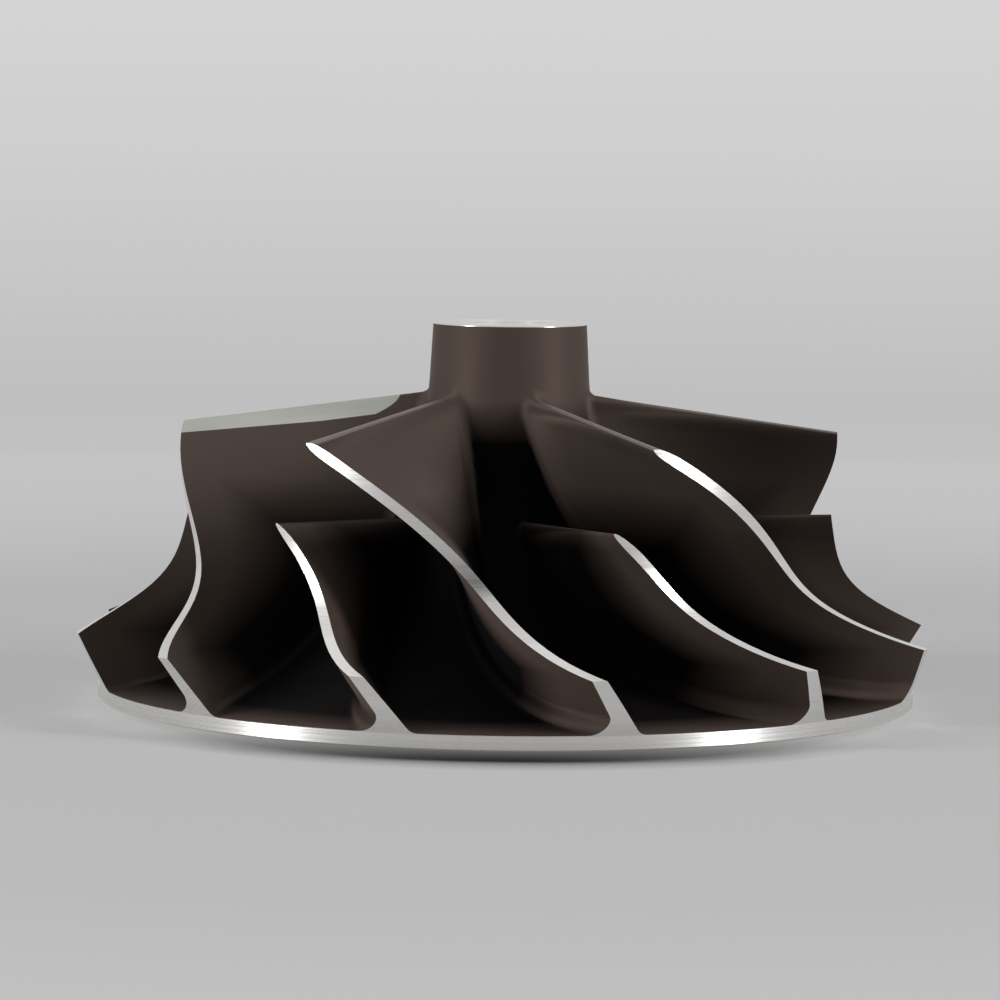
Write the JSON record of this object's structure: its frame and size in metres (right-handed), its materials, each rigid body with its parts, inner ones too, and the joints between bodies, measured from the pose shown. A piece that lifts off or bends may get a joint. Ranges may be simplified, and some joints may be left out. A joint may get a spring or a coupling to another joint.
{
  "type": "compressor wheel",
  "caption": "Radial compressor wheel turned and cast in one piece, with full and splitter blades, an extended blade tip, a plain nose and a through bore.",
  "frame": {"origin": "centre of the seating boss on the back, on the shaft axis", "axes": "+Z along the shaft axis from the back towards the nose and the air inlet; -Y faces the viewer of the reference view"},
  "size_m": [0.0748, 0.0748, 0.034],
  "materials": {
    "cast_aluminium": "satin dark brown-black coat, with the rim, blade edges and bore turned bright"
  },
  "bodies": {
    "root": {"compressor_wheel": "cast_aluminium"}
  },
  "joints": []
}
